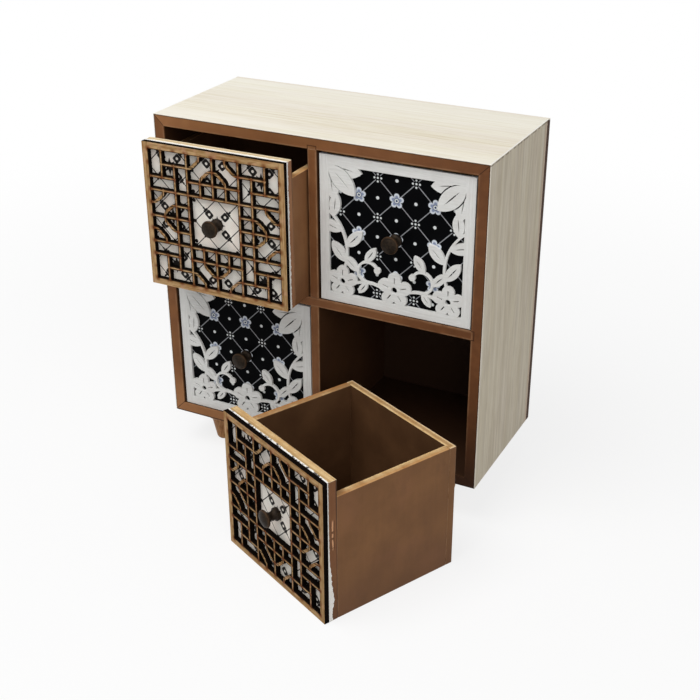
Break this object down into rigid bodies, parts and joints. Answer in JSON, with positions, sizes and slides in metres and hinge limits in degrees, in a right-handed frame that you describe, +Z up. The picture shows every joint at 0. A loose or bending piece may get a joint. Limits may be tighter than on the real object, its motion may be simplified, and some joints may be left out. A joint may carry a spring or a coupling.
{
  "type": "desktop mini drawers",
  "caption": "Small free-standing cabinet on turned feet with square drawers in two rows, lattice and cut-out fronts, one drawer open and one lifted out.",
  "frame": {"origin": "on the floor, under the middle of the box round the cabinet and the drawer in front of it", "axes": "+X to the cabinet's right as seen from the front, +Y to its back, +Z up"},
  "size_m": [0.2546, 0.2556, 0.264],
  "materials": {
    "brown_board": "satin paint on fibreboard",
    "pale_paper": "matt wood-grain paper",
    "back_board": "matt painted hardboard",
    "foot_wood": "satin stained wood",
    "front_board": "painted fibreboard with a bare top edge",
    "drawer_board": "matt paint on fibreboard, bare top edges",
    "pale_print": "printed paper",
    "dark_print": "printed paper",
    "lattice_wood": "laser-cut plywood with burnt edges",
    "white_cutout": "matt white painted board",
    "bronze": "antique bronze",
    "steel": "zinc-plated"
  },
  "bodies": {
    "cabinet": {"top_panel": "brown_board", "bottom_panel": "brown_board", "left_side_panel": "brown_board", "right_side_panel": "brown_board", "outer_wrap": "pale_paper", "middle_shelf": "brown_board", "centre_divider": "brown_board", "back_panel": "back_board", "back_panel_nails": "steel", "foot_front_left": "foot_wood", "foot_front_right": "foot_wood", "foot_back_left": "foot_wood", "foot_back_right": "foot_wood"},
    "drawer_upper_left": {"upper_left_front": "front_board", "upper_left_left_wall": "drawer_board", "upper_left_right_wall": "drawer_board", "upper_left_back_wall": "drawer_board", "upper_left_floor": "drawer_board", "upper_left_print": "pale_print", "upper_left_overlay": "lattice_wood", "upper_left_knob": "bronze", "upper_left_screw": "steel"},
    "drawer_upper_right": {"upper_right_front": "front_board", "upper_right_left_wall": "drawer_board", "upper_right_right_wall": "drawer_board", "upper_right_back_wall": "drawer_board", "upper_right_floor": "drawer_board", "upper_right_print": "dark_print", "upper_right_overlay": "white_cutout", "upper_right_knob": "bronze", "upper_right_screw": "steel"},
    "drawer_lower_left": {"lower_left_front": "front_board", "lower_left_left_wall": "drawer_board", "lower_left_right_wall": "drawer_board", "lower_left_back_wall": "drawer_board", "lower_left_floor": "drawer_board", "lower_left_print": "dark_print", "lower_left_overlay": "white_cutout", "lower_left_knob": "bronze", "lower_left_screw": "steel"},
    "drawer_lower_right": {"lower_right_front": "front_board", "lower_right_left_wall": "drawer_board", "lower_right_right_wall": "drawer_board", "lower_right_back_wall": "drawer_board", "lower_right_floor": "drawer_board", "lower_right_print": "pale_print", "lower_right_overlay": "lattice_wood", "lower_right_knob": "bronze", "lower_right_screw": "steel"}
  },
  "joints": [
    {"name": "upper_left_slide", "type": "slide", "parent": "cabinet", "child": "drawer_upper_left", "axis": [0, -1, 0], "range_m": [-0.0305, 0.0415]},
    {"name": "upper_right_slide", "type": "slide", "parent": "cabinet", "child": "drawer_upper_right", "axis": [0, -1, 0], "range_m": [-0.0017, 0.0718]},
    {"name": "lower_left_slide", "type": "slide", "parent": "cabinet", "child": "drawer_lower_left", "axis": [0, -1, 0], "range_m": [-0.0017, 0.0718]},
    {"name": "lower_right_lift", "type": "slide", "parent": "cabinet", "child": "drawer_lower_right", "axis": [0, 0, 1], "range_m": [0, 0.04]}
  ]
}
